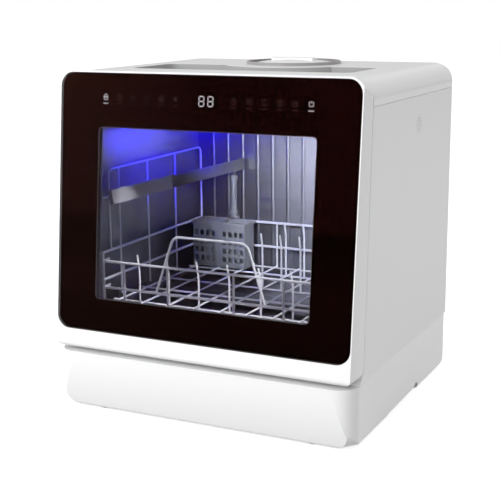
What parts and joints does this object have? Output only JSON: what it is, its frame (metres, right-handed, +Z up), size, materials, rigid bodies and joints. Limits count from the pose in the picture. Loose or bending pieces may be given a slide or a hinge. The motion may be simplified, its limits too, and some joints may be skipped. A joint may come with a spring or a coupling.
{
  "type": "countertop dishwasher",
  "caption": "Worktop dishwasher with a raked drop-down glass door, a wire rack with a folding cup shelf, a spray arm and a filler lid over a built-in tank.",
  "frame": {"origin": "on the worktop, under the middle of the machine's outside", "axes": "+Z up, the door faces -Y, +X is to the right when facing the door"},
  "size_m": [0.42, 0.383, 0.4525],
  "materials": {
    "white_shell": "satin white moulding",
    "light_panel": "fine light grey paint",
    "dark_glass": "polished, dark tint",
    "clear_glass": "polished",
    "black_print": "smooth black enamel print",
    "trim_grey": "fine matt",
    "rubber_grey": "matt rubber",
    "seal_grey": "matt rubber",
    "steel": "fine brushed",
    "plated_steel": "bright plated",
    "tub_steel": "satin",
    "rack_coat": "nylon-coated wire, satin",
    "shelf_grey": "fine matt",
    "grip_grey": "fine matt",
    "hub_grey": "fine matt",
    "pump_plastic": "glass-filled, matt",
    "tank_plastic": "milky",
    "hose_grey": "smooth",
    "board_green": "solder mask",
    "lit_white": "lit segments",
    "lamp_violet": "lit lens",
    "screw_steel": "zinc plated"
  },
  "bodies": {
    "cabinet": {"base_tray": "white_shell", "rubber_feet": "rubber_grey", "left_panel": "light_panel", "right_panel": "light_panel", "back_panel": "light_panel", "back_screws": "screw_steel", "connector_well": "trim_grey", "top_cover": "white_shell", "filler_collar": "white_shell", "water_tank": "tank_plastic", "tank_pipe": "hose_grey", "front_frame": "white_shell", "door_gasket": "seal_grey", "hinge_arms": "steel", "latch_catches": "steel", "tub": "tub_steel", "lamp_strip": "lamp_violet", "spray_hub": "hub_grey", "sump": "pump_plastic", "filter_plate": "tub_steel", "wash_pump": "pump_plastic", "pump_motor": "steel", "pump_hose": "rubber_grey", "drain_pump": "pump_plastic", "drain_hose": "hose_grey", "water_heater": "steel", "power_board": "board_green", "water_inlet": "steel", "drain_outlet": "trim_grey", "cord_gland": "rubber_grey", "blower_case": "pump_plastic", "vent_grille": "plated_steel"},
    "door": {"door_frame": "white_shell", "door_glass": "dark_glass", "glass_print": "black_print", "window_trim": "trim_grey", "inner_pane": "clear_glass", "door_liner": "tub_steel", "control_board": "board_green", "display_digits": "lit_white", "light_guides": "clear_glass", "hinge_pins": "steel", "latch_tongues": "steel", "liner_screws": "screw_steel"},
    "rack": {"rack_floor": "rack_coat", "rack_sides": "rack_coat", "rack_front_rails": "rack_coat", "rack_hoop": "rack_coat", "plate_tines": "rack_coat", "rack_guard": "rack_coat", "rack_runners": "hub_grey", "shelf_post": "hub_grey"},
    "cup_shelf": {"shelf_wires": "rack_coat", "shelf_strip": "shelf_grey", "shelf_grip": "grip_grey"},
    "cutlery_holder": {"cutlery_basket": "hub_grey"},
    "spray": {"spray_arm": "hub_grey"},
    "lid": {"filler_lid": "white_shell"},
    "filter": {"filter_cup": "hub_grey"},
    "fan": {"fan_wheel": "trim_grey"}
  },
  "joints": [
    {"name": "door_hinge", "type": "hinge", "parent": "cabinet", "child": "door", "pos_m": [0, -0.175, 0.1015], "axis": [1, 0, 0], "range_deg": [0, 95]},
    {"name": "rack_slide", "type": "slide", "parent": "cabinet", "child": "rack", "axis": [0, -1, 0], "range_m": [0, 0.118]},
    {"name": "shelf_fold", "type": "hinge", "parent": "rack", "child": "cup_shelf", "pos_m": [-0.1612, 0, 0.2787], "axis": [0, -1, 0], "range_deg": [0, 50]},
    {"name": "cutlery_lift", "type": "slide", "parent": "rack", "child": "cutlery_holder", "axis": [0, 0, 1], "range_m": [0, 0.06]},
    {"name": "spray_spin", "type": "hinge", "parent": "cabinet", "child": "spray", "pos_m": [0, 0, 0.12], "axis": [0, 0, 1], "continuous": true},
    {"name": "filter_turn", "type": "hinge", "parent": "cabinet", "child": "filter", "pos_m": [0, 0.028, 0.1], "axis": [0, 0, 1], "range_deg": [0, 45]},
    {"name": "lid_lift", "type": "slide", "parent": "cabinet", "child": "lid", "axis": [0, 0, 1], "range_m": [0, 0.06]},
    {"name": "fan_spin", "type": "hinge", "parent": "cabinet", "child": "fan", "pos_m": [0.19, 0.043, 0.373], "axis": [1, 0, 0], "continuous": true}
  ],
  "couplings": [
    {"joint": "rack_slide", "follows": "door_hinge", "m_per_rad": 0.07}
  ]
}
